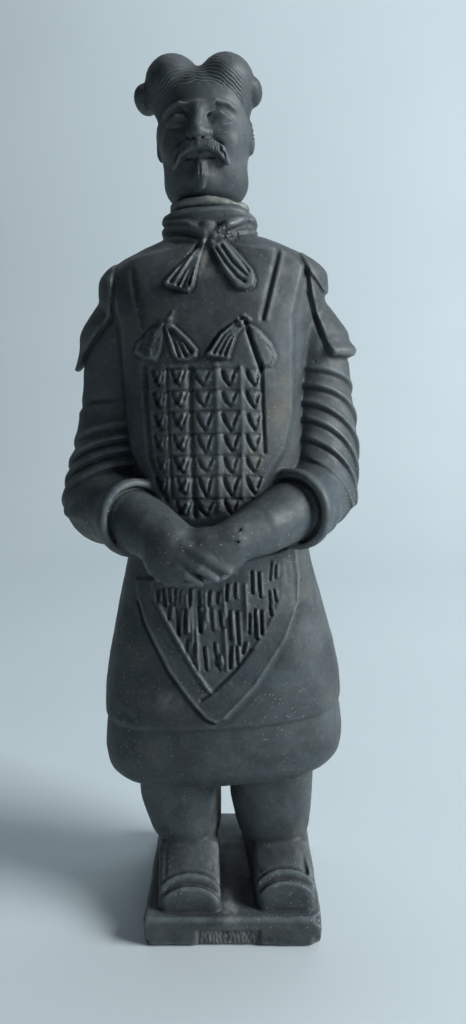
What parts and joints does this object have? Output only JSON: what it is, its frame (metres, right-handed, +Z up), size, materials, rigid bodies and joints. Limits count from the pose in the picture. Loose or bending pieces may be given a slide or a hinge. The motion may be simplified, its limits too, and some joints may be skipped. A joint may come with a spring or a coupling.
{
  "type": "terracotta warrior statue",
  "caption": "Standing armoured warrior in dark fired clay, hands clasped at the waist, on a square base, with a separate head set in its collar.",
  "frame": {"origin": "centre of the underside of the square base", "axes": "+Z up, the figure faces -Y, +X to the right of a viewer in front"},
  "size_m": [0.0693, 0.0527, 0.1986],
  "materials": {
    "clay": "matt dark grey fired clay, dusty and worn",
    "head_clay": "matt dark grey fired clay",
    "filler": "pale dry filler paste"
  },
  "bodies": {
    "root": {"figure": "clay", "head": "head_clay", "neck_filler": "filler"}
  },
  "joints": []
}
